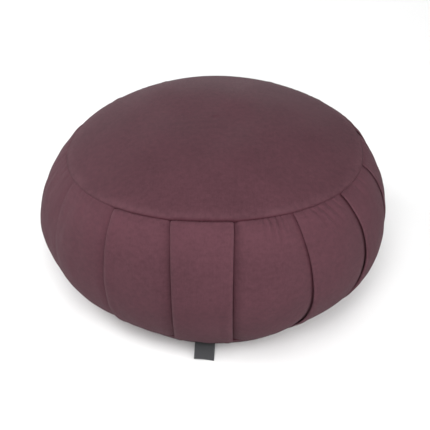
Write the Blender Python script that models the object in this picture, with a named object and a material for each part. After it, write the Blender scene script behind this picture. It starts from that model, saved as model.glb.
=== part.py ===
"""A zafu: a round, firmly filled floor cushion with a lapped, pleated side band.

The base rests on z = 0 and the cushion's axis is the Z axis. All sizes are in metres.
Angles run round the axis, in degrees, from the front (-Y) towards the right (+X).
"""

import math
from collections import namedtuple

import bmesh
import bpy
from mathutils import Vector

# Section of the cushion
GIRTH_R = 0.165
GIRTH_Z = 0.0769
SIDE_DEPTH = 0.0679
SEAM_R = 0.1377
SEAM_Z = 0.1436
BASE_SEAM_R = 0.1309
BASE_SEAM_Z = 0.012
CROWN = 0.0304
CROWN_POWER = 2.62
FOOT_R = 0.118
HEEL_POWER = 1.6

# Cloth and seams
CLOTH = 0.0015
GAP = 0.00045
SEAM_DIP = 0.0014
SEAM_DIP_WIDTH = 0.0045
PANEL_SHORT = 0.0015
RECESS_SHORT = 0.0004

# Label, a folded woven tab caught in the base seam
LABEL_WIDTH = 0.0185
LABEL_THICK = 0.0012
LABEL_ANGLE = -3.6
LABEL_TURN = 3.0
LABEL_ROOT_R = 0.1298
LABEL_ROOT_Z = 0.01075
LABEL_TIP_R = 0.1445
LABEL_TIP_Z = 0.0009
LABEL_SAG = 0.0012

# Mesh fineness
BAND_STEPS = 15
MID_POINTS = 2
RIM_POINTS = 75
CROWN_RINGS = (0.030, 0.062, 0.090, 0.112, 0.126, 0.1335)
BASE_RINGS = (0.050, 0.090, FOOT_R, 0.1215, 0.1255)
LABEL_CUTS = 5
START_ANGLE = -22.0

# How the fill has settled: waves round the cushion, each with its size and the angle of a crest
Wave = namedtuple("Wave", "count size crest")
SEAM_RING_WAVES = (
    Wave(count=2, size=0.0035, crest=98.0),
    Wave(count=3, size=0.0020, crest=-3.0),
)
LOWER_RING_WAVES = (
    Wave(count=1, size=0.0003, crest=90.0),
    Wave(count=2, size=0.0012, crest=109.0),
    Wave(count=3, size=0.0023, crest=42.0),
    Wave(count=4, size=0.0019, crest=-3.0),
)
SADDLE = Wave(count=2, size=0.0074, crest=-1.0)
LEAN_X = 0.005
LEAN_Y = 0.030

# The folds of the band. laps: +1 where the fold lies over the panel on its left, -1 where it lies
# over the one on its right. retreat: how far the fold draws back at mid height, in degrees.
# fullness: how far the panel that follows the fold swells at its middle.
Fold = namedtuple("Fold", "angle retreat laps lift fullness")
FOLDS = (
    Fold(-15.5, 1.7, 1, 1.0, 0.0012),
    Fold(7.1, -1.1, -1, 1.0, 0.0034),
    Fold(29.9, 1.8, 1, 1.1, 0.0022),
    Fold(56.7, 1.9, 1, 1.2, 0.0020),
    Fold(80.6, 0.6, 1, 0.9, 0.0018),
    Fold(106.0, -1.2, 1, 1.1, 0.0040),
    Fold(129.5, 1.6, 1, 1.0, 0.0020),
    Fold(153.0, 1.8, 1, 1.1, 0.0024),
    Fold(176.5, 1.4, 1, 0.9, 0.0018),
    Fold(200.0, 1.9, 1, 1.0, 0.0022),
    Fold(223.5, 1.5, 1, 1.1, 0.0020),
    Fold(247.0, 1.8, 1, 0.9, 0.0024),
    Fold(270.5, 1.2, 1, 1.0, 0.0018),
    Fold(292.5, 4.0, 1, 0.7, 0.0022),
    Fold(321.4, 2.0, 1, 0.8, 0.0008),
)

# One lap, cut across: how far each point lies along the band past the fold's edge and out from
# the band's mean surface. flat is where it lies along the band once the lap is pressed flat.
LapPoint = namedtuple("LapPoint", "along out flat")
LAP = (
    LapPoint(-0.0130, -0.0001, -0.0130),
    LapPoint(-0.0060, -0.0010, -0.0060),
    LapPoint(0.0008, -0.0023, -0.0022),
    LapPoint(0.0075, -0.0028, -0.0014),
    LapPoint(0.0096, -0.0022, -0.0006),
    LapPoint(0.0075, -0.0014, 0.0002),
    LapPoint(0.0014, -0.0009, 0.0010),
    LapPoint(-0.0006, 0.0000, 0.0018),
    LapPoint(-0.0002, 0.0010, 0.0026),
    LapPoint(0.0020, 0.0016, 0.0034),
    LapPoint(0.0070, 0.0016, 0.0070),
    LapPoint(0.0140, 0.0010, 0.0140),
)
LAP_REACH = 0.005
LIFT_AT_SEAM = 0.55

# The side is an arc of an ellipse on each side of the girth
SIDE_R = GIRTH_R - SIDE_DEPTH
TOP_TURN = math.acos((SEAM_R - SIDE_R) / SIDE_DEPTH)
BASE_TURN = math.acos((BASE_SEAM_R - SIDE_R) / SIDE_DEPTH)
UPPER_RISE = (SEAM_Z - GIRTH_Z) / math.sin(TOP_TURN)
LOWER_RISE = (GIRTH_Z - BASE_SEAM_Z) / math.sin(BASE_TURN)
BAND_LENGTH = 0.19

COTTON = (0.135, 0.066, 0.082)
COTTON_LIT = (0.150, 0.074, 0.091)
LABEL_GREY = (0.045, 0.045, 0.050)


def clear_scene():
    for item in list(bpy.data.objects):
        bpy.data.objects.remove(item, do_unlink=True)


def smoothstep(x):
    x = min(max(x, 0.0), 1.0)
    return x * x * (3.0 - 2.0 * x)


def wave_sum(waves, angle):
    return sum(w.size * math.cos(w.count * math.radians(angle - w.crest)) for w in waves)


def placed(angle, section, offset=(0.0, 0.0)):
    """The point of a section (r, z) at this angle, moved as the fill has settled, then offset."""
    r, z = section
    high = min(max((z - GIRTH_Z) / (SEAM_Z - GIRTH_Z), 0.0), 1.0)
    rim = min(r / SEAM_R, 1.0)
    shift = high * rim * wave_sum(SEAM_RING_WAVES, angle)
    shift += (1.0 - high) * min(r / BASE_SEAM_R, 1.0) * wave_sum(LOWER_RING_WAVES, angle)
    radius = r + shift + offset[0]
    turn = math.radians(angle)
    x = radius * math.sin(turn)
    y = -radius * math.cos(turn)
    rise = high * (LEAN_X * x + LEAN_Y * y + rim * rim * wave_sum((SADDLE,), angle))
    return Vector((x, y, z + offset[1] + rise))


def seam_dip(distance):
    """How far the cloth is drawn in at this distance from a seam."""
    return SEAM_DIP * math.exp(-((distance / SEAM_DIP_WIDTH) ** 2))


def side_section(v):
    """The side's section point and outward normal, from the top seam (v = 0) to the base seam (v = 1)."""
    turn = TOP_TURN - v * (TOP_TURN + BASE_TURN)
    rise = UPPER_RISE if turn > 0.0 else LOWER_RISE
    section = (SIDE_R + SIDE_DEPTH * math.cos(turn), GIRTH_Z + rise * math.sin(turn))
    normal = Vector((math.cos(turn) / SIDE_DEPTH, math.sin(turn) / rise)).normalized()
    return section, normal


def lap_points(fold, v):
    """(angle, out) of each point of a fold's lap at height v, in the order in which the cloth runs."""
    radius = side_section(v)[0][0]
    from_seam = min(v, 1.0 - v) * BAND_LENGTH
    opened = smoothstep(from_seam / LAP_REACH)
    belly = math.sin(math.pi * v)
    lift = opened * fold.lift * (LIFT_AT_SEAM + (1.0 - LIFT_AT_SEAM) * belly)
    edge = fold.angle + fold.retreat * belly
    points = []
    for point in LAP if fold.laps > 0 else LAP[::-1]:
        along = fold.laps * (point.flat + (point.along - point.flat) * opened)
        points.append((edge + math.degrees(along / radius), point.out * lift))
    return points


def band_row(v):
    """The closed row of points round the band at height v."""
    section, normal = side_section(v)
    dip = seam_dip(v * BAND_LENGTH) + seam_dip((1.0 - v) * BAND_LENGTH)
    laps = [lap_points(fold, v) for fold in FOLDS]
    row = []
    for index, fold in enumerate(FOLDS):
        row += laps[index]
        here = laps[index][-1]
        turn = 360.0 if index + 1 == len(FOLDS) else 0.0
        following = laps[(index + 1) % len(FOLDS)][0]
        swell = fold.fullness * math.sqrt(math.sin(math.pi * v))
        for step in range(1, MID_POINTS + 1):
            part = step / (MID_POINTS + 1)
            angle = here[0] + part * (following[0] + turn - here[0])
            row.append((angle, swell))
    offsets = [(angle, normal * (out - dip)) for angle, out in row]
    return [(angle, placed(angle, section, offset)) for angle, offset in offsets]


def ring(section, offset=(0.0, 0.0)):
    """A closed round row of points through one section point."""
    angles = [START_ANGLE + 360.0 * k / RIM_POINTS for k in range(RIM_POINTS)]
    return [(angle, placed(angle, section, offset)) for angle in angles]


def crown_section(r):
    """The top panel's section point and outward normal at radius r."""
    part = r / SEAM_R
    dip = seam_dip(SEAM_R - r)
    slope = CROWN * CROWN_POWER * part ** (CROWN_POWER - 1.0) / SEAM_R
    slope += 2.0 * dip * (SEAM_R - r) / SEAM_DIP_WIDTH**2
    return (r, SEAM_Z + CROWN * (1.0 - part**CROWN_POWER) - dip), Vector((slope, 1.0)).normalized()


def base_section(r):
    """The base panel's section point and outward normal at radius r: flat, then up to the seam."""
    part = max(r - FOOT_R, 0.0) / (BASE_SEAM_R - FOOT_R)
    slope = HEEL_POWER * BASE_SEAM_Z * part ** (HEEL_POWER - 1.0) / (BASE_SEAM_R - FOOT_R)
    normal = Vector((slope, -1.0)).normalized()
    return (r, BASE_SEAM_Z * part**HEEL_POWER), normal


def add_row(mesh, row):
    return [(angle, mesh.verts.new(point)) for angle, point in row]


def join_rows(mesh, first, second):
    """Joins two closed rows of any two counts, each step on the row that lags behind."""
    a = first + [(first[0][0] + 360.0, first[0][1])]
    b = second + [(second[0][0] + 360.0, second[0][1])]
    i = j = 0
    while i < len(first) or j < len(second):
        if j == len(second) or (i < len(first) and a[i + 1][0] <= b[j + 1][0]):
            mesh.faces.new((a[i][1], b[j][1], a[i + 1][1]))
            i += 1
        else:
            mesh.faces.new((a[i][1], b[j][1], b[j + 1][1]))
            j += 1


def join_equal_rows(mesh, first, second):
    """Joins two closed rows of the same count with four-sided faces."""
    count = len(first)
    for k in range(count):
        n = (k + 1) % count
        mesh.faces.new((first[k][1], second[k][1], second[n][1], first[n][1]))


def close_row(mesh, row, point):
    """Closes a row onto one middle point."""
    middle = mesh.verts.new(point)
    for k in range(len(row)):
        mesh.faces.new((middle, row[k][1], row[(k + 1) % len(row)][1]))


def material(name, color, roughness):
    made = bpy.data.materials.new(name)
    made.use_nodes = True
    shader = made.node_tree.nodes["Principled BSDF"]
    shader.inputs["Base Color"].default_value = (*color, 1.0)
    shader.inputs["Roughness"].default_value = roughness
    shader.inputs["Metallic"].default_value = 0.0
    return made


def add_object(name, mesh, finish, sharp_angle=35.0):
    bmesh.ops.recalc_face_normals(mesh, faces=mesh.faces)
    data = bpy.data.meshes.new(name)
    mesh.to_mesh(data)
    mesh.free()
    data.materials.append(finish)
    data.shade_smooth()
    data.set_sharp_from_angle(angle=math.radians(sharp_angle))
    made = bpy.data.objects.new(name, data)
    bpy.context.scene.collection.objects.link(made)
    return made


def add_thickness(made, thickness, offset):
    """Gives a sheet its thickness: inwards at offset -1, half each way at offset 0."""
    solidify = made.modifiers.new("cloth thickness", "SOLIDIFY")
    solidify.thickness = thickness
    solidify.offset = offset
    solidify.use_even_offset = True


def pleated_body():
    """The filled band, with a shallow recess for each round panel."""
    depth = CLOTH + GAP
    mesh = bmesh.new()
    crown = [ring(crown_section(r)[0], crown_section(r)[1] * -depth) for r in CROWN_RINGS]
    edge, normal = crown_section(SEAM_R - RECESS_SHORT)
    crown.append(ring(edge, normal * -depth))
    crown = [add_row(mesh, row) for row in crown]
    steps = [(1.0 - math.cos(math.pi * k / BAND_STEPS)) / 2.0 for k in range(BAND_STEPS + 1)]
    band = [add_row(mesh, band_row(v)) for v in steps]
    edge, normal = base_section(BASE_SEAM_R - RECESS_SHORT)
    base = [ring(edge, normal * -depth)]
    base += [ring(base_section(r)[0], base_section(r)[1] * -depth) for r in BASE_RINGS[::-1]]
    base = [add_row(mesh, row) for row in base]
    for rows in (crown, band, base):
        for first, second in zip(rows, rows[1:]):
            join_equal_rows(mesh, first, second)
    join_rows(mesh, crown[-1], band[0])
    join_rows(mesh, band[-1], base[0])
    close_row(mesh, crown[0], placed(0.0, (0.0, SEAM_Z + CROWN), (0.0, -depth)))
    close_row(mesh, base[-1], placed(0.0, (0.0, 0.0), (0.0, depth)))
    return add_object("pleated_body", mesh, material("plum cotton band", COTTON, 0.85))


def round_panel(name, section_at, radii, middle, facing, finish):
    """A round cloth panel: its outer face as rings, facing up (1) or down (-1), then its thickness."""
    mesh = bmesh.new()
    rows = [add_row(mesh, ring(section_at(r)[0])) for r in radii]
    for first, second in zip(rows, rows[1:]):
        join_equal_rows(mesh, first, second)
    close_row(mesh, rows[0], placed(0.0, middle))
    made = add_object(name, mesh, finish)
    if made.data.polygons[-1].normal.z * facing < 0.0:
        made.data.flip_normals()
    add_thickness(made, CLOTH, -1.0)
    return made


def seam_label():
    """The folded tab: it leaves the base seam and slants down to the floor."""
    mesh = bmesh.new()
    turn = math.radians(LABEL_ANGLE)
    out = Vector((math.sin(turn), -math.cos(turn), 0.0))
    across = Vector((math.cos(turn), math.sin(turn), 0.0))
    skew = math.tan(math.radians(LABEL_TURN))
    root = placed(LABEL_ANGLE, (LABEL_ROOT_R, LABEL_ROOT_Z))
    reach = LABEL_TIP_R - LABEL_ROOT_R
    rows = []
    for step in range(LABEL_CUTS + 1):
        part = step / LABEL_CUTS
        z = LABEL_ROOT_Z + (LABEL_TIP_Z - LABEL_ROOT_Z) * part
        z -= 4.0 * LABEL_SAG * part * (1.0 - part)
        row = []
        for side in (-0.5, 0.0, 0.5):
            place = root + out * (reach * part) + across * (side * LABEL_WIDTH)
            place += out * (side * LABEL_WIDTH * skew * part)
            place.z = z
            row.append(mesh.verts.new(place))
        rows.append(row)
    for first, second in zip(rows, rows[1:]):
        for k in range(2):
            mesh.faces.new((first[k], second[k], second[k + 1], first[k + 1]))
    made = add_object("seam_label", mesh, material("dark grey woven tab", LABEL_GREY, 0.8))
    add_thickness(made, LABEL_THICK, 0.0)
    return made


def main():
    clear_scene()
    pleated_body()
    round_panel(
        "top_panel",
        crown_section,
        CROWN_RINGS + (SEAM_R - PANEL_SHORT,),
        (0.0, SEAM_Z + CROWN),
        1.0,
        material("plum cotton top", COTTON_LIT, 0.85),
    )
    round_panel(
        "base_panel",
        base_section,
        BASE_RINGS + (BASE_SEAM_R - PANEL_SHORT,),
        (0.0, 0.0),
        -1.0,
        material("plum cotton base", COTTON, 0.85),
    )
    seam_label()


main()
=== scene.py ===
import math
from collections import namedtuple

import bpy
import numpy as np
from mathutils import Matrix, Vector


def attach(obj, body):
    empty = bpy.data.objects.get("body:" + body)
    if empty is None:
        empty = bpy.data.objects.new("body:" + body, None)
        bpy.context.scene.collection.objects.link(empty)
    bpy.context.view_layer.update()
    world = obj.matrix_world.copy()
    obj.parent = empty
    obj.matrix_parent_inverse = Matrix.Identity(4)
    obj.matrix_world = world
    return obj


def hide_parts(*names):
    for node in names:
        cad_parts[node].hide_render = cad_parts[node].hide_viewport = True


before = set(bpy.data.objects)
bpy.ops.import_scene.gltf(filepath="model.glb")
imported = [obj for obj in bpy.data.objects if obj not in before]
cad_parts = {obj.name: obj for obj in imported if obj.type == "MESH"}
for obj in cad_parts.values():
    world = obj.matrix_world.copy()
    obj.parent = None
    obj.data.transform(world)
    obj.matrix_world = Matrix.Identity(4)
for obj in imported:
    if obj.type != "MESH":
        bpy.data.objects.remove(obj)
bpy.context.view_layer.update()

# Lengths are in metres. Angles run round the cushion's axis, in degrees, from the front (-Y)
# towards the right (+X).

# Camera, at the photograph's height, distance and framing
CAMERA_HEIGHT_ANGLE = 32.58
CAMERA_DISTANCE = 1.1
CAMERA_TARGET = (0.0005, 0.0, 0.066)
CAMERA_ROLL = 0.23
CAMERA_LENS = 93.0
SENSOR = 36.0

# The floor: half its width, and its tone
FLOOR_HALF = 6.0
FLOOR_TONE = (0.75, 0.75, 0.75, 1.0)

# Section of the cushion: its girth, its two seams, the crown over the top one, the foot, and the
# cloth's length down the side
GIRTH_R = 0.1638
GIRTH_Z = 0.0769
SIDE_DEPTH = 0.0679
SEAM_R = 0.1377
SEAM_Z = 0.1436
BASE_SEAM_R = 0.1309
BASE_SEAM_Z = 0.012
CROWN = 0.0304
CROWN_POWER = 2.62
FOOT_R = 0.118
HEEL_POWER = 1.6
BAND_LENGTH = 0.19

# Cloth and seams: a broad draw-in, the narrow crease where the two edges meet, a dip at each stitch
# and the crease's shade. The round covers' rims stop short of a drawn seam, over the band's recess.
CLOTH = 0.0012
DRAW_IN = 0.0011
DRAW_IN_WIDTH = 0.0055
CREASE = 0.0014
CREASE_WIDTH = 0.0010
STITCH = 0.0032
STITCH_PULL = 0.00018
STITCH_WIDTH = 0.0025
SHADE_WIDTH = 0.0006
SHADE_SPREAD = 0.0004
SEAM_REACH = 0.015
PANEL_SHORT = 0.0007
RECESS = 0.0026

# How deep the seams' creases are drawn at each angle
SeamPull = namedtuple("SeamPull", "angle pull")
SEAM_PULLS = (
    SeamPull(-180.0, 0.5),
    SeamPull(-120.0, 0.3),
    SeamPull(-80.0, 0.0),
    SeamPull(-60.0, 0.05),
    SeamPull(-45.0, 0.3),
    SeamPull(-37.0, 0.8),
    SeamPull(-16.5, 1.0),
    SeamPull(-14.5, 2.2),
    SeamPull(6.0, 2.2),
    SeamPull(8.5, 1.1),
    SeamPull(31.0, 0.75),
    SeamPull(57.0, 0.35),
    SeamPull(80.0, 0.15),
    SeamPull(115.0, 0.15),
    SeamPull(145.0, 0.2),
    SeamPull(180.0, 0.5),
)
BASE_PULLS = (SeamPull(0.0, 0.35),)

# Painted light: a paler zone painted on the band under the top seam, where it catches more light, measured
# down from it
PAINTED_LIGHT_MIDDLE = 0.014
PAINTED_LIGHT_WIDTH = 0.026

# The seam ring swells behind on the right, and is flat over the box panel in front
REAR_BULGE = 0.0028
REAR_MIDDLE = 116.0
REAR_HALF = 22.0
BOX_FLAT = 0.0012
BOX_MIDDLE = -4.3
BOX_HALF = 11.4

# The side is an arc of an ellipse on each side of the girth
SIDE_R = GIRTH_R - SIDE_DEPTH
TOP_TURN = math.acos((SEAM_R - SIDE_R) / SIDE_DEPTH)
BASE_TURN = math.acos((BASE_SEAM_R - SIDE_R) / SIDE_DEPTH)
UPPER_RISE = (SEAM_Z - GIRTH_Z) / math.sin(TOP_TURN)
LOWER_RISE = (GIRTH_Z - BASE_SEAM_Z) / math.sin(BASE_TURN)

# How the fill has settled: waves round the cushion, each with its size and the angle of a crest
Wave = namedtuple("Wave", "count size crest")
SEAM_RING_WAVES = (
    Wave(count=2, size=0.0035, crest=98.0),
    Wave(count=3, size=0.0020, crest=-3.0),
)
LOWER_RING_WAVES = (
    Wave(count=1, size=0.0003, crest=90.0),
    Wave(count=2, size=0.0012, crest=109.0),
    Wave(count=3, size=0.0023, crest=42.0),
    Wave(count=4, size=0.0019, crest=-3.0),
)
# Where the foot is drawn in: how far at the base seam, at what angle, over what half width
FootTuck = namedtuple("FootTuck", "size middle half")
FOOT_TUCKS = (
    FootTuck(0.0042, 44.0, 15.0),
    FootTuck(-0.0016, 66.0, 14.0),
    FootTuck(0.0006, 8.0, 12.0),
    FootTuck(0.0022, -40.0, 16.0),
    FootTuck(-0.0010, -68.0, 18.0),
)

# The top seam rises and falls like a saddle, and leans: its rise for each metre right and back
SADDLE = Wave(count=2, size=0.0074, crest=-1.0)
LEAN_X = 0.005
LEAN_Y = 0.030

# Soft unevenness of the cloth: how high it is, and how far from crest to crest. On the crown it dies
# out towards the seam, over CROWN_CALM.
Rumple = namedtuple("Rumple", "size wavelength seed")
BAND_RUMPLES = (Rumple(0.0005, 0.060, 3), Rumple(0.00022, 0.022, 5))
CROWN_RUMPLES = (Rumple(0.0009, 0.110, 11), Rumple(0.0003, 0.045, 12))
CROWN_CALM = 0.03
RUMPLE_WAVES = 14

# The folds of the band. laps: +1 where the fold lies over the panel on its left, -1 where it lies
# over the one on its right. retreat and foot: how far the fold draws aside at mid height and at its
# foot, in degrees. waver: how much it wanders on the way. top, middle, low: how far it stands off at
# those heights. fullness: how far the panel that follows the fold swells at its middle.
Fold = namedtuple("Fold", "angle retreat foot waver laps top middle low fullness")
FOLDS = (
    Fold(-15.5, 2.8, 0.8, 0.0, 1, 1.7, 1.7, 1.4, 0.0012),
    Fold(6.7, -1.5, 0.9, 0.0, -1, 1.8, 1.7, 1.5, 0.0034),
    Fold(30.0, 2.4, 3.8, 0.0, 1, 0.42, 1.0, 1.0, 0.0018),
    Fold(56.0, 2.8, -3.0, 0.0, 1, 0.7, 1.0, 1.2, 0.0018),
    Fold(81.2, 1.6, 0.0, 0.1, 1, 0.4, 0.5, 0.7, 0.0012),
    Fold(107.5, -1.2, 0.0, 0.2, 1, 0.6, 1.0, 1.0, 0.0034),
    Fold(129.5, 1.6, 0.0, 0.15, 1, 0.4, 0.9, 1.1, 0.0026),
    Fold(153.0, 1.8, 0.0, 0.15, 1, 0.6, 1.0, 0.9, 0.0024),
    Fold(176.5, 1.4, 0.0, 0.15, 1, 0.6, 0.9, 1.0, 0.0018),
    Fold(200.0, 1.9, 0.0, 0.15, 1, 0.7, 1.0, 1.1, 0.0022),
    Fold(223.5, 1.5, 0.0, 0.15, 1, 0.6, 1.1, 0.9, 0.0018),
    Fold(247.0, 1.8, 0.0, 0.15, 1, 0.6, 0.9, 1.0, 0.0010),
    Fold(270.5, 1.2, 0.0, 0.1, 1, 0.5, 0.8, 0.9, 0.0008),
    Fold(292.0, 4.8, 0.0, 0.0, 1, 0.15, 0.22, 0.4, 0.0020),
    Fold(321.2, 2.2, 0.0, 0.0, 1, 1.5, 1.5, 1.1, 0.0012),
)

# Where on the way down a fold has its top, middle and low height, and what is left at the foot
FOLD_LEVELS = (0.0, 0.12, 0.5, 0.85, 1.0)
FOLD_FOOT = 0.8

# One lap, cut across: how far each point lies along the band past the fold's edge and out from
# the band's mean surface. flat is where it lies along the band once the lap is pressed flat.
LapPoint = namedtuple("LapPoint", "along out flat")
LAP = (
    LapPoint(-0.0105, 0.0000, -0.0105),
    LapPoint(-0.0060, -0.0007, -0.0062),
    LapPoint(-0.0025, -0.0017, -0.0038),
    LapPoint(0.0004, -0.0024, -0.0026),
    LapPoint(0.0055, -0.0025, -0.0017),
    LapPoint(0.0088, -0.0022, -0.0009),
    LapPoint(0.0094, -0.0018, -0.0003),
    LapPoint(0.0082, -0.0014, 0.0003),
    LapPoint(0.0048, -0.0012, 0.0009),
    LapPoint(0.0014, -0.0010, 0.0014),
    LapPoint(-0.0003, -0.0007, 0.0019),
    LapPoint(-0.0008, 0.0000, 0.0024),
    LapPoint(-0.0004, 0.0008, 0.0029),
    LapPoint(0.0010, 0.0013, 0.0036),
    LapPoint(0.0040, 0.0015, 0.0052),
    LapPoint(0.0080, 0.0010, 0.0082),
    LapPoint(0.0110, 0.0006, 0.0110),
)

# Places among the lap's points: the bottom of its slit, its nose, the part inside the slit where shade is
# painted, and the part on the nose that is worn and has a painted highlight.
# Near the seams the laps are pressed flat over LAP_REACH.
SLIT_POINT = 6
NOSE_POINT = 11
SLIT_SHADE_FIRST = 2.6
SLIT_SHADE_LAST = 10
SLIT_SHADE_FADE = 1.5
WEAR_AND_HIGHLIGHT_POINT = NOSE_POINT + 0.7
WEAR_AND_HIGHLIGHT_POINTS = 1.2
LAP_REACH = 0.0028

# Where the band closes out of sight, under the covers
SEAM_IN = 0.001
LID_R = 0.110
UNDER_R = 0.115
INNER_R = 0.050
LID_RISE = 0.020
LID_TOP = 0.022
UNDER_RISE = 0.002
UNDERSIDE = 0.0045

# The round covers: how far in from the rim they are worn, how much the cloth stretches out to the
# rim, and the base seam's shares of the top seam's dip and shade
RIM_WEAR_IN = 0.0024
RIM_WEAR_WIDTH = 0.004
COVER_STRETCH = 0.06
BASE_DIP = 0.6
BASE_SHADE = 0.8

# How far apart the panels' weaves are set on the flat cloth
PANEL_PITCH = 0.0913

# Mesh fineness
BAND_ROWS = 88
LAP_STEPS = 29
PANEL_STEPS = 40
COVER_RINGS = 60
COVER_SPOKES = 480


def smoothstep(x):
    x = np.clip(x, 0.0, 1.0)
    return x * x * (3.0 - 2.0 * x)


def wave_sum(waves, angle):
    return sum(w.size * np.cos(w.count * np.radians(angle - w.crest)) for w in waves)


def placed(angle, r, z, out_r=0.0, out_z=0.0):
    """Points of the section (r, z) at these angles, moved as the fill has settled, then offset."""
    high = np.clip((z - GIRTH_Z) / (SEAM_Z - GIRTH_Z), 0.0, 1.0)
    rim = np.minimum(r / SEAM_R, 1.0)
    wrapped = (angle + 180.0) % 360.0 - 180.0
    local = REAR_BULGE * np.exp(-(((wrapped - REAR_MIDDLE) / REAR_HALF) ** 2))
    local = local - BOX_FLAT * np.clip(1.0 - ((wrapped - BOX_MIDDLE) / BOX_HALF) ** 2, 0.0, 1.0)
    shift = high * rim * (wave_sum(SEAM_RING_WAVES, angle) + local)
    low = np.clip((GIRTH_Z - z) / (GIRTH_Z - BASE_SEAM_Z), 0.0, 1.0) ** 3
    tucked = sum(t.size * np.exp(-(((wrapped - t.middle) / t.half) ** 2)) for t in FOOT_TUCKS)
    lower = (1.0 - high) * wave_sum(LOWER_RING_WAVES, angle) - low * tucked
    shift = shift + np.minimum(r / BASE_SEAM_R, 1.0) * lower
    radius = r + shift + out_r
    turn = np.radians(angle)
    x = radius * np.sin(turn)
    y = -radius * np.cos(turn)
    rise = high * (LEAN_X * x + LEAN_Y * y + rim * rim * wave_sum((SADDLE,), angle))
    return np.stack(np.broadcast_arrays(x, y, z + out_z + rise), axis=-1)


def pull_at(angle, pulls=SEAM_PULLS):
    """How hard the seam is drawn in at these angles."""
    wrapped = (angle + 180.0) % 360.0 - 180.0
    return np.interp(wrapped, [p.angle for p in pulls], [p.pull for p in pulls])


def seam_dip(angle, distance, pulls=SEAM_PULLS):
    """How far the cloth is drawn in at this distance from a seam: broadly, sharply, and by each stitch."""
    pull = pull_at(angle, pulls)
    stitch = np.cos(2.0 * math.pi * np.radians(angle) * SEAM_R / STITCH)
    broad = DRAW_IN * np.minimum(pull, 1.0) * np.exp(-((distance / DRAW_IN_WIDTH) ** 2))
    crease = CREASE * np.exp(-((distance / CREASE_WIDTH) ** 2))
    dips = STITCH_PULL * stitch * np.exp(-((distance / STITCH_WIDTH) ** 2))
    return broad + pull * (crease + dips)


def seam_shade(angle, distance):
    """How much of the seam's own shade a point takes, from 0 to 1."""
    pull = pull_at(angle)
    return np.minimum(pull, 1.0) * np.exp(-((distance / (SHADE_WIDTH + SHADE_SPREAD * pull)) ** 2))


def side_section(v):
    """The side's radius, height and outward normal, from the top seam (v = 0) to the base seam (v = 1)."""
    turn = TOP_TURN - v * (TOP_TURN + BASE_TURN)
    rise = np.where(turn > 0.0, UPPER_RISE, LOWER_RISE)
    r = SIDE_R + SIDE_DEPTH * np.cos(turn)
    z = GIRTH_Z + rise * np.sin(turn)
    out_r = np.cos(turn) / SIDE_DEPTH
    out_z = np.sin(turn) / rise
    size = np.hypot(out_r, out_z)
    return r, z, out_r / size, out_z / size


def curve_through(values, steps):
    """Catmull-Rom samples through a column of values, evenly spaced in its index."""
    values = np.array(values)
    padded = np.concatenate([[2 * values[0] - values[1]], values, [2 * values[-1] - values[-2]]])
    at = np.linspace(0.0, len(values) - 1.0, steps)
    i = np.minimum(at.astype(int), len(values) - 2)
    t = at - i
    a, b, c, d = (padded[i + k] for k in range(4))
    square = (2 * a - 5 * b + 4 * c - d) * t**2
    cube = (3 * b - a - 3 * c + d) * t**3
    return 0.5 * (2 * b + (c - a) * t + square + cube)


def rumpled(points, rumples):
    """Soft, even-sided unevenness over space, the same each time for the same seeds."""
    height = np.zeros(points.shape[:-1])
    for rumple in rumples:
        random = np.random.default_rng(rumple.seed)
        waves = np.zeros(points.shape[:-1])
        for _ in range(RUMPLE_WAVES):
            way = random.normal(size=3)
            way *= 2.0 * math.pi / (rumple.wavelength * np.linalg.norm(way)) * random.uniform(0.6, 1.4)
            waves += np.cos(points @ way + random.uniform(0.0, 2.0 * math.pi))
        height += rumple.size * (waves / math.sqrt(RUMPLE_WAVES))
    return height


# Puckers and creases in the band, each a soft trough that starts at a seam and dies out. angle and
# lean in degrees (lean over its whole length), start, length, width and depth in metres. start is
# measured from the top seam, or up from the base seam where it is negative.
Crease = namedtuple("Crease", "angle start length lean width depth")
SEEN_CREASES = (
    Crease(17.9, 0.001, 0.021, 0.4, 0.0015, 0.00200),
    Crease(20.1, 0.001, 0.033, 1.0, 0.0017, 0.00280),
    Crease(22.9, 0.001, 0.040, 0.6, 0.0019, 0.00300),
    Crease(25.0, 0.001, 0.027, 0.9, 0.0015, 0.00250),
    Crease(27.6, 0.001, 0.018, 0.2, 0.0014, 0.00190),
    Crease(34.5, 0.001, 0.018, 1.5, 0.0018, 0.00170),
    Crease(38.5, 0.001, 0.034, 5.0, 0.0022, 0.00260),
    Crease(42.0, 0.001, 0.040, 5.5, 0.0024, 0.00280),
    Crease(46.0, 0.001, 0.034, 4.6, 0.0022, 0.00250),
    Crease(50.0, 0.001, 0.024, 3.5, 0.0020, 0.00190),
    Crease(-52.0, 0.004, 0.060, 1.5, 0.0045, 0.00060),
    Crease(-60.0, 0.030, 0.075, 2.0, 0.0055, 0.00070),
    Crease(-78.0, 0.004, 0.085, 3.0, 0.0065, 0.00080),
    Crease(-84.0, 0.020, 0.070, 2.5, 0.0050, 0.00119),
    Crease(66.0, 0.002, 0.050, 3.0, 0.0035, 0.00102),
    Crease(71.0, 0.002, 0.030, 2.0, 0.0028, 0.00102),
)
PUCKER_SPACING = 4.6
PUCKER_SEED = 7

# A crease starts softly and widens as it dies out, and the cloth beside it swells a little
CREASE_ONSET = 0.1
CREASE_NARROW = 0.7
CREASE_SPREAD = 0.9
RIDGE_SHARE = 0.45
RIDGE_WIDTH = 2.1


def seeded_creases():
    """Small puckers all along both seams, spaced and sized unevenly."""
    random = np.random.default_rng(PUCKER_SEED)
    found = []
    for sign in (1.0, -1.0):
        angle = 0.0
        while angle < 360.0:
            angle += PUCKER_SPACING * random.uniform(0.45, 1.6)
            found.append(
                Crease(
                    angle=angle,
                    start=0.0008 * sign,
                    length=random.uniform(0.008, 0.026),
                    lean=random.uniform(-1.5, 2.2),
                    width=random.uniform(0.0014, 0.0028),
                    depth=random.uniform(0.00015, 0.00070),
                )
            )
    return found


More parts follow.
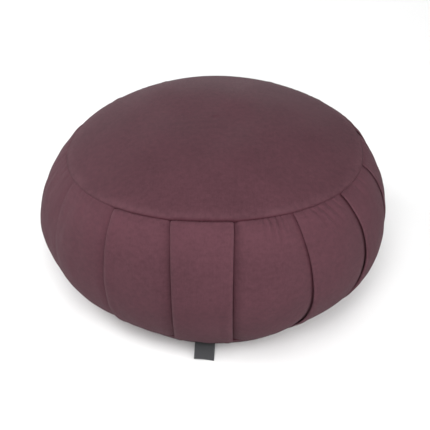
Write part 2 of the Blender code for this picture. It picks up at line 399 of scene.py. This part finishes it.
def crease_depth(angle, distance, radius, creases):
    """How far the creases push the cloth in at each point. distance is from the top seam."""
    total = np.zeros(np.broadcast(angle, distance).shape)
    for crease in creases:
        if crease.start >= 0.0:
            along = (distance - crease.start) / crease.length
        else:
            along = (BAND_LENGTH - distance + crease.start) / crease.length
        rows = np.flatnonzero((along[:, 0] > -CREASE_ONSET) & (along[:, 0] < 1.0))
        if not len(rows):
            continue
        part = along[rows]
        middle = crease.angle + crease.lean * part
        across = (angle[rows] - middle + 180.0) % 360.0 - 180.0
        width = crease.width * (CREASE_NARROW + CREASE_SPREAD * np.clip(part, 0, 1))
        across = np.radians(across) * radius[rows] / width
        onset = smoothstep((part + CREASE_ONSET) / (2.0 * CREASE_ONSET))
        fade = onset * (1.0 - smoothstep(part)) ** 0.8
        trough = np.exp(-(across**2)) - RIDGE_SHARE * np.exp(-((across / RIDGE_WIDTH) ** 2))
        total[rows] += crease.depth * fade * trough
    return total


def lap_shape():
    """The lap's samples as (along, out, flat), and each one's place among the points of LAP."""
    columns = [curve_through([getattr(point, name) for point in LAP], LAP_STEPS) for name in LapPoint._fields]
    place = np.linspace(0.0, len(LAP) - 1.0, LAP_STEPS)
    return (*columns, place)


def fold_height(fold, v):
    """How far the fold stands off its neighbour at height v, as a share of the lap's own size."""
    heights = (fold.top, fold.top, fold.middle, fold.low, fold.low * FOLD_FOOT)
    return np.interp(v, FOLD_LEVELS, heights)


# A lap's points at every height, and all the band's points, with the panel that owns each column
Lap = namedtuple("Lap", "edge angle out tucked worn")
Columns = namedtuple("Columns", "angle out tuck wear panel edges")


def band_columns(v):
    """The band's points, one row for each height v: laps and the panels between them."""
    r = side_section(v)[0][:, None]
    from_seam = (np.minimum(v, 1.0 - v) * BAND_LENGTH)[:, None]
    opened = smoothstep(from_seam / LAP_REACH)
    belly = np.sin(math.pi * v)[:, None]
    along, out, flat, place = lap_shape()
    laps = []
    for index, fold in enumerate(FOLDS):
        waver = fold.waver * (np.sin(14.0 * v + 1.7 * index) + 0.5 * np.sin(32.0 * v + index))
        wander = waver[:, None] + fold.foot * v[:, None] ** 3
        edge = fold.angle + fold.retreat * belly + wander * np.sqrt(belly)
        height = fold_height(fold, v)[:, None]
        step = slice(None) if fold.laps > 0 else slice(None, None, -1)
        lie = flat + (along - flat) * opened * np.minimum(height, 1.0) ** 0.5
        lap_angle = edge + np.degrees(fold.laps * lie / r)[:, step]
        lap_out = (out * opened * height)[:, step]
        # Painted shade inside each lap's slit, under the fold
        tucked = smoothstep((place - SLIT_SHADE_FIRST + 1.0) / SLIT_SHADE_FADE)
        tucked = tucked * smoothstep((SLIT_SHADE_LAST + 1.0 - place) / SLIT_SHADE_FADE)
        # Wear with a painted highlight along the fold's nose
        worn = np.exp(-(((place - WEAR_AND_HIGHLIGHT_POINT) / WEAR_AND_HIGHLIGHT_POINTS) ** 2))
        tucked = (tucked * np.clip(height, 0.15, 1.0))[:, step]
        worn = (worn * np.clip(height, 0.0, 1.0))[:, step]
        laps.append(Lap(edge, lap_angle, lap_out, tucked, worn))
    angles, outs, slit_shades, nose_wears_and_highlights, panels = [], [], [], [], []
    for index, fold in enumerate(FOLDS):
        lap = laps[index]
        turn = 360.0 if index + 1 == len(FOLDS) else 0.0
        following = laps[(index + 1) % len(FOLDS)]
        part = np.arange(1, PANEL_STEPS + 1) / (PANEL_STEPS + 1)
        between = lap.angle[:, -1:] + part * (following.angle[:, :1] + turn - lap.angle[:, -1:])
        ends = lap.out[:, -1:] + part * (following.out[:, :1] - lap.out[:, -1:])
        angles += [lap.angle, between]
        outs += [lap.out, ends]
        slit_shades += [lap.tucked, np.zeros_like(between)]
        nose_wears_and_highlights += [lap.worn, np.zeros_like(between)]
        own_side = place >= SLIT_POINT if fold.laps > 0 else place[::-1] <= SLIT_POINT
        panels += [np.where(own_side, index, index - 1), np.full(PANEL_STEPS, index)]
    edges = np.stack([lap.edge[:, 0] for lap in laps] + [laps[0].edge[:, 0] + 360.0], axis=1)
    return Columns(
        np.concatenate(angles, axis=1),
        np.concatenate(outs, axis=1),
        np.concatenate(slit_shades, axis=1),
        np.concatenate(nose_wears_and_highlights, axis=1),
        np.concatenate(panels),
        edges,
    )


def panel_fullness(angle, edges, v):
    """How far each panel swells between its two folds."""
    total = np.zeros_like(angle)
    belly = (np.sin(math.pi * v**0.9) ** 0.8)[:, None]
    for index, fold in enumerate(FOLDS):
        low, high = edges[:, index : index + 1], edges[:, index + 1 : index + 2]
        for turn in (-360.0, 0.0, 360.0):
            part = (angle + turn - low) / (high - low)
            inside = (part > 0.0) & (part < 1.0)
            swell = np.sin(math.pi * np.clip(part, 0, 1)) ** 1.3
            total += np.where(inside, fold.fullness * swell, 0.0)
    return total * belly


def new_piece(name, points, faces, finish):
    mesh = bpy.data.meshes.new(name)
    mesh.from_pydata(points.tolist(), [], faces)
    mesh.update()
    mesh.materials.append(finish)
    mesh.shade_smooth()
    piece = bpy.data.objects.new(name, mesh)
    bpy.context.scene.collection.objects.link(piece)
    return piece


def store(mesh, name, values):
    """Keeps one number a point, for the finish to read."""
    mesh.attributes.new(name, "FLOAT", "POINT").data.foreach_set("value", np.ravel(values).astype(np.float32))


def store_uv(mesh, corners):
    """Keeps the cloth's own flat coordinates, in metres, one pair for each face corner."""
    mesh.uv_layers.new(name="cloth").data.foreach_set("uv", np.ravel(corners).astype(np.float32))


def grid_faces(rows, columns):
    """Four-sided faces of a closed grid of rows, facing out where the rows run down and to the right."""
    row, column = np.meshgrid(np.arange(rows - 1), np.arange(columns), indexing="ij")
    after = (column + 1) % columns
    here = row * columns
    below = here + columns
    return np.stack((here + column, below + column, below + after, here + after), axis=-1).reshape(-1, 4)


def pleated_band(finish):
    """The filled band: its laps, puckers and seams as real shape, closed under the round covers."""
    even = np.linspace(0.0, 1.0, BAND_ROWS)
    v = 0.45 * even + 0.55 * (1.0 - np.cos(math.pi * even)) / 2.0
    layout = band_columns(v)
    angle, out, edges = layout.angle, layout.out, layout.edges
    r, z, out_r, out_z = (a[:, None] for a in side_section(v))
    distance = (v * BAND_LENGTH)[:, None] * np.ones_like(angle)
    base_points = placed(angle, r, z)
    exposed = 1.0 - layout.tuck
    creases = seeded_creases() + list(SEEN_CREASES)
    out = out + panel_fullness(angle, edges, v)
    out = out - crease_depth(angle, distance, r * np.ones_like(angle), creases) * exposed
    free = exposed * smoothstep(np.minimum(distance, BAND_LENGTH - distance) / SEAM_REACH)
    out = out + free * rumpled(base_points, BAND_RUMPLES)
    out = out - seam_dip(angle, distance) - seam_dip(angle, BAND_LENGTH - distance, BASE_PULLS)
    columns = angle.shape[1]
    lid = ((INNER_R, SEAM_Z + LID_RISE), (LID_R, SEAM_Z), (SEAM_R - SEAM_IN, SEAM_Z - RECESS))
    heel = (BASE_SEAM_R - SEAM_IN, BASE_SEAM_Z + UNDER_RISE)
    lower = (heel, (UNDER_R, UNDERSIDE), (INNER_R, UNDERSIDE))
    rings = [placed(angle[0], ring_r, ring_z)[None] for ring_r, ring_z in lid]
    rings += [placed(angle, r, z, out * out_r, out * out_z)]
    rings += [placed(angle[-1], ring_r, ring_z)[None] for ring_r, ring_z in lower]
    grid = np.concatenate(rings)
    count = len(grid)
    middles = [placed(0.0, 0.0, SEAM_Z + LID_TOP)[None], placed(0.0, 0.0, UNDERSIDE)[None]]
    points = np.concatenate([grid.reshape(-1, 3), *middles])
    quads = grid_faces(count, columns)
    column = np.arange(columns)
    after = (column + 1) % columns
    last = (count - 1) * columns
    caps = [(count * columns, int(a), int(b)) for a, b in zip(column, after)]
    caps += [(count * columns + 1, int(last + b), int(last + a)) for a, b in zip(column, after)]
    piece = new_piece("pleated_band", points, quads.tolist() + caps, finish)

    spare = ((len(lid), len(lower)), (0, 0))
    # Painted shade, kept for the finish: in the slits and along both seams
    tuck = np.maximum(layout.tuck, seam_shade(angle, distance))
    tuck = np.maximum(tuck, BASE_SHADE * seam_shade(0.0, BAND_LENGTH - distance))
    # Painted light: the band is painted paler just under the top seam
    painted_light = np.exp(-(((distance - PAINTED_LIGHT_MIDDLE) / PAINTED_LIGHT_WIDTH) ** 2))
    for name, values in (("tuck", tuck), ("wear", layout.wear), ("painted_light", painted_light)):
        store(piece.data, name, np.append(np.pad(values, spare, mode="edge"), (0.0, 0.0)))
    middle = (edges[:, :-1] + edges[:, 1:]) / 2.0
    r_all = np.pad(r[:, 0], spare[0], mode="edge")
    v_all = np.pad(v, spare[0], mode="edge") * BAND_LENGTH
    angle_all = np.pad(angle, spare, mode="edge")
    middle_all = np.pad(middle, spare, mode="edge")
    row = quads // columns
    place = quads % columns
    owner = layout.panel[quads[:, 0] % columns] % len(FOLDS)
    turned = angle_all[row, place] - middle_all[row, owner[:, None]]
    turned = (turned + 180.0) % 360.0 - 180.0
    u = np.radians(turned) * r_all[row] + owner[:, None] * PANEL_PITCH
    corners = np.stack([u, -v_all[row]], axis=-1).reshape(-1, 2)
    corners = np.concatenate([corners, np.zeros((3 * len(caps), 2))])
    store_uv(piece.data, corners)
    return piece


def round_cover(name, section_at, rim, pulls, facing, finish):
    """A round cloth cover: its outer face as rings, then its thickness inwards."""
    part = np.linspace(0.0, 1.0, COVER_RINGS + 1)[1:]
    part = 0.55 * part + 0.45 * np.sin(part * math.pi / 2.0)
    spoke = 360.0 * np.arange(COVER_SPOKES) / COVER_SPOKES
    rim = rim - PANEL_SHORT * np.minimum(pull_at(spoke, pulls), 1.0)
    angle = np.broadcast_to(spoke, (len(part), len(spoke)))
    r = part[:, None] * rim
    z, lift = section_at(r, angle)
    grid = placed(angle, r, z, 0.0, lift)
    middle_z = section_at(np.zeros(1), np.zeros(1))[0][0]
    points = np.concatenate([grid.reshape(-1, 3), placed(0.0, 0.0, middle_z)[None]])
    quads = grid_faces(COVER_RINGS, COVER_SPOKES)
    middle = len(points) - 1
    fan = [(middle, k, (k + 1) % COVER_SPOKES) for k in range(COVER_SPOKES)]
    faces = quads.tolist() + fan
    if facing < 0:
        faces = [face[::-1] for face in faces]
    piece = new_piece(name, points, faces, finish)
    loops = np.empty(len(piece.data.loops), np.int32)
    piece.data.loops.foreach_get("vertex_index", loops)
    # Painted shade along the cover's rim, at the seam
    store(piece.data, "tuck", np.append(seam_shade(angle, rim - r), 0.0))
    store(piece.data, "wear", np.append(np.exp(-(((rim - r - RIM_WEAR_IN) / RIM_WEAR_WIDTH) ** 2)), 0.0))
    radius = np.append(r, 0.0)
    spread = radius * (1.0 + COVER_STRETCH * (radius / SEAM_R) ** 2)
    turn = np.radians(np.append(angle, 0.0))
    flat = np.stack([spread * np.sin(turn), -spread * np.cos(turn)], axis=-1)
    store_uv(piece.data, flat[loops])
    solidify = piece.modifiers.new("cloth thickness", "SOLIDIFY")
    solidify.thickness = CLOTH
    solidify.offset = -1.0
    apply_modifiers(piece)
    return piece


def apply_modifiers(piece):
    for other in bpy.context.selected_objects:
        other.select_set(False)
    piece.select_set(True)
    bpy.context.view_layer.objects.active = piece
    for modifier in list(piece.modifiers):
        bpy.ops.object.modifier_apply(modifier=modifier.name)
    piece.select_set(False)


def crown_at(r, angle):
    """The top cover's height, and its own soft unevenness and drawn-in rim."""
    part = r / SEAM_R
    z = SEAM_Z + CROWN * (1.0 - part**CROWN_POWER)
    turn = np.radians(angle)
    flat = np.stack([r * np.sin(turn), -r * np.cos(turn), np.zeros_like(r)], axis=-1)
    lift = rumpled(flat, CROWN_RUMPLES) * smoothstep((SEAM_R - r) / CROWN_CALM)
    return z, lift - seam_dip(angle, SEAM_R - r)


def base_at(r, angle):
    """The base cover's height: flat on the floor, then up to the base seam."""
    part = np.maximum(r - FOOT_R, 0.0) / (BASE_SEAM_R - FOOT_R)
    return BASE_SEAM_Z * part**HEEL_POWER, BASE_DIP * seam_dip(angle, BASE_SEAM_R - r, BASE_PULLS)


# The tab: a folded strip of woven tape, its two ends caught in the base seam
TAB_WIDTH = 0.0185
TAB_TAPE = 0.00045
TAB_GAP = 0.0004
TAB_ANGLE = -3.6
TAB_TURN = 3.0
TAB_ROOT = (0.1298, 0.01075)
TAB_TIP = (0.1445, 0.0011)
TAB_SAG = 0.0012
TAB_CURL = 0.0004
TAB_STEPS = 26
TAB_CUTS = 14
TAB_BEND_STEPS = 9


def woven_tab(finish):
    turn = math.radians(TAB_ANGLE)
    out = np.array((math.sin(turn), -math.cos(turn), 0.0))
    across = np.array((math.cos(turn), math.sin(turn), 0.0))
    root = placed(TAB_ANGLE, np.array(TAB_ROOT[0]), np.array(TAB_ROOT[1]))
    reach = TAB_TIP[0] - TAB_ROOT[0]
    drop = TAB_TIP[1] - TAB_ROOT[1]
    length = math.hypot(reach, drop)
    along, up = np.array((reach, drop)) / length, np.array((-drop, reach)) / length
    half = (TAB_GAP + TAB_TAPE) / 2.0
    straight = np.linspace(0.0, length - half, TAB_STEPS)
    bend = np.linspace(math.pi / 2.0, -math.pi / 2.0, TAB_BEND_STEPS)[1:-1]
    path = [(s, half) for s in straight]
    path += [(length - half + half * math.cos(b), half * math.sin(b)) for b in bend]
    path += [(s, -half) for s in straight[::-1]]
    side = np.linspace(-0.5, 0.5, TAB_CUTS + 1)
    rows, flat, travelled, before = [], [], 0.0, path[0]
    for s, h in path:
        travelled += math.dist((s, h), before)
        before = (s, h)
        part = s / length
        curl = TAB_CURL * np.cos(math.pi * side * 1.4 + 0.5) * part
        reach_here = along[0] * s + up[0] * h
        z = root[2] + along[1] * s + up[1] * h - 4.0 * TAB_SAG * part * (1.0 - part)
        place = root + out * reach_here + across * (side * TAB_WIDTH)[:, None]
        place += out * (side * TAB_WIDTH * math.tan(math.radians(TAB_TURN)) * part)[:, None]
        place[:, 2] = z + curl
        rows.append(place)
        flat.append(np.stack([side * TAB_WIDTH, np.full_like(side, travelled)], axis=-1))
    points = np.concatenate(rows)
    wide = TAB_CUTS + 1
    faces = [
        (k * wide + c, (k + 1) * wide + c, (k + 1) * wide + c + 1, k * wide + c + 1)
        for k in range(len(rows) - 1)
        for c in range(TAB_CUTS)
    ]
    piece = new_piece("woven_tab", points, faces, finish)
    loops = np.empty(len(piece.data.loops), np.int32)
    piece.data.loops.foreach_get("vertex_index", loops)
    store_uv(piece.data, np.concatenate(flat)[loops])
    solidify = piece.modifiers.new("tape thickness", "SOLIDIFY")
    solidify.thickness = TAB_TAPE
    solidify.offset = 0.0
    apply_modifiers(piece)
    return piece


class Value:
    """A shader number that works in sums: each operator adds a Math node."""

    def __init__(self, paint, socket):
        self.paint = paint
        self.socket = socket

    def __add__(self, other):
        return self.paint.math("ADD", self, other)

    def __sub__(self, other):
        return self.paint.math("SUBTRACT", self, other)

    def __rsub__(self, other):
        return self.paint.math("SUBTRACT", other, self)

    def __mul__(self, other):
        return self.paint.math("MULTIPLY", self, other)

    def __truediv__(self, other):
        return self.paint.math("DIVIDE", self, other)

    def __gt__(self, other):
        return self.paint.math("GREATER_THAN", self, other)

    __radd__ = __add__
    __rmul__ = __mul__


class Paint:
    """A finish under construction: a Principled shader and the nodes that feed it."""

    def __init__(self, name, **settings):
        self.finish = bpy.data.materials.new(name)
        self.finish.use_nodes = True
        self.tree = self.finish.node_tree
        self.shader = self.tree.nodes["Principled BSDF"]
        for socket, value in settings.items():
            self.shader.inputs[socket.replace("_", " ")].default_value = value

    def node(self, kind, settings=(), inputs=()):
        made = self.tree.nodes.new(kind)
        for name, value in dict(settings).items():
            setattr(made, name, value)
        for name, value in dict(inputs).items():
            if isinstance(value, Value):
                self.tree.links.new(value.socket, made.inputs[name])
            else:
                made.inputs[name].default_value = value
        return made

    def value(self, kind, output, settings=(), inputs=()):
        return Value(self, self.node(kind, settings, inputs).outputs[output])

    def math(self, operation, *numbers):
        return self.value("ShaderNodeMath", 0, {"operation": operation}, enumerate(numbers))

    def sine(self, number):
        return self.math("SINE", number)

    def size(self, number):
        return self.math("ABSOLUTE", number)

    def clamp(self, number):
        return self.value("ShaderNodeClamp", 0, (), {0: number})

    def flat_place(self):
        """The cloth's own flat coordinates, in metres, as (across, along)."""
        uv = self.value("ShaderNodeUVMap", 0, {"uv_map": "cloth"})
        parts = self.node("ShaderNodeSeparateXYZ", (), {0: uv})
        return Value(self, parts.outputs[0]), Value(self, parts.outputs[1])

    def stored(self, name):
        return self.value("ShaderNodeAttribute", "Fac", {"attribute_name": name})

    def vector(self, x, y, z=0.0):
        return self.value("ShaderNodeCombineXYZ", 0, (), {0: x, 1: y, 2: z})

    def noise(self, place, scale, detail=2.0, roughness=0.5):
        """Noise from about -0.5 to 0.5. The place times the scale is about 1 from lump to lump."""
        inputs = {"Vector": place, "Scale": scale, "Detail": detail, "Roughness": roughness}
        return self.value("ShaderNodeTexNoise", 0, {"noise_dimensions": "3D"}, inputs) - 0.5

    def mix(self, factor, first, second):
        settings = {"data_type": "RGBA", "clamp_factor": True}
        return self.value("ShaderNodeMix", 2, settings, {0: factor, 6: first, 7: second})

    def feed(self, socket, value):
        self.tree.links.new(value.socket, self.shader.inputs[socket])

    def bump(self, height, strength, distance):
        inputs = {"Height": height, "Strength": strength, "Distance": distance}
        self.feed("Normal", self.value("ShaderNodeBump", 0, (), inputs))


# Colours of the cloth, of the painted shade in its slits and seams, where it is worn and has a painted
# highlight on the folds' noses, and of the tape, with a painted shadow where it leaves the seam
PLUM = (0.0568, 0.0210, 0.0282)
PLUM_PAINTED_SHADE = (0.032, 0.003, 0.008, 1.0)
PLUM_WORN_AND_HIGHLIT = (0.100, 0.045, 0.056, 1.0)
TAPE_DARK = (0.015, 0.0154, 0.018, 1.0)
TAPE_PALE = (0.036, 0.0367, 0.040, 1.0)
TAPE_EDGE = (0.07, 0.07, 0.075, 1.0)
TAPE_PAINTED_SHADOW = (0.004, 0.004, 0.005, 1.0)

# The weave: from thread to thread, how far the threads wander and how high they stand
COTTON_ROUGHNESS = 0.86
THREAD_PITCH = 0.00070
THREAD_WANDER = 0.00025
THREAD_HEIGHT = 0.00022

# The tape: from rib to rib across and along it, how high the ribs stand, and its bound edges
RIB_ACROSS = 0.00028
RIB_ALONG = 0.00034
RIB_HEIGHT = 0.00012
BOUND_EDGE = TAB_WIDTH * 0.46


def cotton(name, seed):
    """Plain-weave cotton: threads over and under, slubs along them, soft mottling and wear, with painted
    shade in the slits and seams, a painted highlight with the wear on the folds' noses, and painted light
    under the top seam.
    """
    paint = Paint(name, Roughness=COTTON_ROUGHNESS, Sheen_Weight=0.02, Sheen_Roughness=0.4)
    paint.shader.inputs["Sheen Tint"].default_value = (0.85, 0.62, 0.68, 1.0)
    paint.shader.inputs["Specular IOR Level"].default_value = 0.15
    across, along = paint.flat_place()
    ripple = paint.noise(paint.vector(across, along, seed), scale=140.0, detail=1.0)
    x = (across + ripple * THREAD_WANDER) / THREAD_PITCH
    y = (along + ripple * THREAD_WANDER) / THREAD_PITCH
    wave_x = paint.sine(x * math.pi)
    wave_y = paint.sine(y * math.pi)
    over = (wave_x * wave_y) > 0.0
    arch_x, arch_y = paint.size(wave_x), paint.size(wave_y)
    warp = arch_x * (arch_y * 0.35 + 0.65)
    weft = arch_y * (arch_x * 0.35 + 0.65)
    height = over * warp + (1.0 - over) * weft
    warp_slub = paint.noise(paint.vector(x * 0.9, along * 28.0, seed + 1.0), scale=1.0)
    weft_slub = paint.noise(paint.vector(across * 28.0, y * 0.9, seed + 2.0), scale=1.0)
    slub = over * warp_slub + (1.0 - over) * weft_slub
    mottle = paint.noise(paint.vector(across, along, seed + 3.0), scale=190.0, detail=3.0, roughness=0.6)
    cloud = paint.noise(paint.vector(across, along, seed + 4.0), scale=22.0, detail=3.0, roughness=0.55)
    fleck = paint.noise(paint.vector(across * 1.6, along * 0.7, seed + 6.0), scale=420.0)
    tone_shift = slub * 0.6 + fleck * 0.6 + mottle * 1.1 + cloud * 0.7 + (height - 0.6) * 0.18
    # Painted light: paler just under the top seam
    tone_shift = tone_shift + paint.stored("painted_light") * 0.30
    # Wear on the folds' noses and the covers' rims, with a painted highlight on the noses
    wear = paint.clamp(paint.stored("wear") * (0.34 + cloud * 0.9 + mottle * 0.9))
    tuck = paint.stored("tuck")
    darker = tuple(0.75 * c for c in PLUM) + (1.0,)
    lighter = tuple(1.25 * c for c in PLUM) + (1.0,)
    base = paint.mix(paint.clamp(0.5 + tone_shift), darker, lighter)
    # The worn colour, which on the folds' noses is also a painted highlight
    base = paint.mix(wear * 0.5, base, PLUM_WORN_AND_HIGHLIT)
    # Painted shade: the cloth is darkened in the slits and along the seams
    base = paint.mix(tuck * 0.8, base, PLUM_PAINTED_SHADE)
    paint.feed("Base Color", base)
    paint.feed("Roughness", COTTON_ROUGHNESS + slub * 0.10 - wear * 0.06)
    paint.bump(height + slub * 1.2 + mottle * 0.6, strength=0.55, distance=THREAD_HEIGHT)
    return paint.finish


def tape():
    """Dense dark grey woven tape with fine ribs and paler bound edges, and a painted shadow where it leaves
    the seam under the band.
    """
    paint = Paint("dark_grey_woven_tape", Roughness=0.8, Sheen_Weight=0.1)
    across, along = paint.flat_place()
    rib_x = paint.size(paint.sine(across * (math.pi / RIB_ACROSS)))
    rib_y = paint.size(paint.sine(along * (math.pi / RIB_ALONG)))
    grain = paint.noise(paint.vector(across, along, 9.0), scale=900.0)
    edge = paint.clamp((paint.size(across) - BOUND_EDGE) * 1800.0)
    base = paint.mix(paint.clamp(0.5 + grain * 1.2 + rib_x * rib_y * 0.3), TAPE_DARK, TAPE_PALE)
    base = paint.mix(edge * 0.35, base, TAPE_EDGE)
    # Painted shadow at the tape's root, where it leaves the seam under the band
    base = paint.mix(paint.clamp(1.3 - along * 250.0) * 0.9, base, TAPE_PAINTED_SHADOW)
    paint.feed("Base Color", base)
    paint.bump(rib_x + rib_y, strength=0.5, distance=RIB_HEIGHT)
    return paint.finish


def camera_and_stage():
    tilt = Matrix.Rotation(math.radians(90.0 - CAMERA_HEIGHT_ANGLE), 4, "X")
    roll = Matrix.Rotation(math.radians(CAMERA_ROLL), 4, "Z")
    turn = tilt @ roll
    place = Vector(CAMERA_TARGET) + tilt @ Vector((0.0, 0.0, CAMERA_DISTANCE))
    data = bpy.data.cameras.new("camera")
    data.lens = CAMERA_LENS
    data.sensor_width = SENSOR
    camera = bpy.data.objects.new("camera", data)
    camera.matrix_world = Matrix.Translation(place) @ turn
    bpy.context.scene.collection.objects.link(camera)
    bpy.context.scene.camera = camera

    paint = Paint("white_floor", Roughness=0.9)
    paint.shader.inputs["Base Color"].default_value = FLOOR_TONE
    corners = FLOOR_HALF * np.array([(-1.0, -1.0, 0.0), (1.0, -1.0, 0.0), (1.0, 1.0, 0.0), (-1.0, 1.0, 0.0)])
    floor = new_piece("floor", corners, [(0, 1, 2, 3)], paint.finish)


# Softboxes round the cushion, each at an angle from the front and a height angle, in degrees
Lamp = namedtuple("Lamp", "name angle height power")
LAMPS = (
    Lamp("high front", -6.0, 64.0, 11.0),
    Lamp("front", -2.0, 43.0, 17.5),
    Lamp("front fill", -2.0, 20.0, 8.6),
    Lamp("front right", 48.0, 38.0, 10.5),
    Lamp("back right", 140.0, 40.0, 3.4),
    Lamp("left", -85.0, 42.0, 15.5),
    Lamp("low front", 10.0, 12.0, 2.0),
    Lamp("low right", 75.0, 12.0, 10.5),
    Lamp("low back", 180.0, 12.0, 13.0),
    Lamp("low back left", -135.0, 12.0, 8.0),
    Lamp("low left", -90.0, 12.0, 9.0),
)
LAMP_SIZE = 0.9
LAMP_DISTANCE = 1.7
LAMP_AIM = (0.0, 0.0, 0.05)
SKY = 0.03


def lights():
    for lamp in LAMPS:
        data = bpy.data.lights.new(lamp.name, "AREA")
        data.shape = "DISK"
        data.energy = lamp.power
        data.size = LAMP_SIZE
        made = bpy.data.objects.new(lamp.name, data)
        turn = math.radians(lamp.angle)
        height = math.radians(lamp.height)
        level = math.cos(height)
        way = Vector((math.sin(turn) * level, -math.cos(turn) * level, math.sin(height)))
        made.location = way * LAMP_DISTANCE
        made.rotation_euler = (Vector(LAMP_AIM) - made.location).to_track_quat("-Z", "Y").to_euler()
        bpy.context.scene.collection.objects.link(made)
    world = bpy.data.worlds.new("studio")
    world.use_nodes = True
    world.node_tree.nodes["Background"].inputs[0].default_value = (1.0, 1.0, 1.0, 1.0)
    world.node_tree.nodes["Background"].inputs[1].default_value = SKY
    bpy.context.scene.world = world
    bpy.context.scene.view_settings.view_transform = "Standard"


camera_and_stage()
lights()

band = pleated_band(cotton("plum_cotton_band", 1.0))
top = round_cover("top_cover", crown_at, SEAM_R, SEAM_PULLS, 1, cotton("plum_cotton_top", 5.0))
base = round_cover("base_cover", base_at, BASE_SEAM_R, BASE_PULLS, -1, cotton("plum_cotton_base", 9.0))
tab = woven_tab(tape())

for piece, node, finish_slot in (
    (band, "pleated_body", "plum_cotton_band"),
    (top, "top_panel", "plum_cotton_top"),
    (base, "base_panel", "plum_cotton_base"),
    (tab, "seam_label", "woven_tab"),
):
    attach(piece, "root")
    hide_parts(node)
